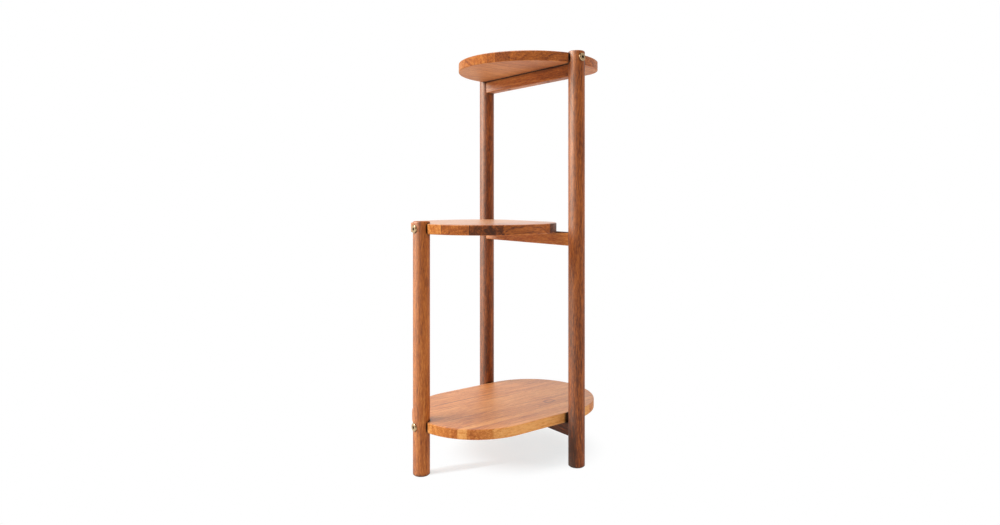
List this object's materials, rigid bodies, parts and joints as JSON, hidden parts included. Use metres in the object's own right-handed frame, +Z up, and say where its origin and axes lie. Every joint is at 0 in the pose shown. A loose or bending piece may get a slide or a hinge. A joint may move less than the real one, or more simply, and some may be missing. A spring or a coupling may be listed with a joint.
{
  "type": "tiered plant stand",
  "caption": "Free-standing wooden plant stand with shelves at different heights on round posts, joined by crossbars, dowels and furniture bolts.",
  "frame": {"origin": "on the floor, under the middle of the stand's overall box", "axes": "+Z up, +X from the short post towards the tall posts, Y between the two tall posts; the stand is the same on both sides of the plane Y = 0"},
  "size_m": [0.3905, 0.308, 0.75],
  "materials": {
    "post_wood": "oiled",
    "shelf_wood": "oiled",
    "bar_wood": "oiled",
    "dowel_wood": "raw",
    "bolt_metal": "nickel plated",
    "nut_metal": "zinc plated",
    "screw_metal": "zinc plated"
  },
  "bodies": {
    "root": {"short_post": "post_wood", "tall_post_left": "post_wood", "tall_post_right": "post_wood", "shelf_bottom": "shelf_wood", "shelf_middle": "shelf_wood", "shelf_top": "shelf_wood", "crossbar_bottom": "bar_wood", "crossbar_middle": "bar_wood", "crossbar_top": "bar_wood", "dowels_bottom": "dowel_wood", "dowels_middle": "dowel_wood", "dowels_top": "dowel_wood", "bolt_short_post_bottom": "bolt_metal", "bolt_short_post_middle": "bolt_metal", "bolt_top_left": "bolt_metal", "bolt_top_right": "bolt_metal", "barrel_nut_bottom": "nut_metal", "barrel_nut_middle": "nut_metal", "barrel_nut_top_left": "nut_metal", "barrel_nut_top_right": "nut_metal", "screws_bottom": "screw_metal", "screws_middle": "screw_metal", "screws_top": "screw_metal"}
  },
  "joints": []
}
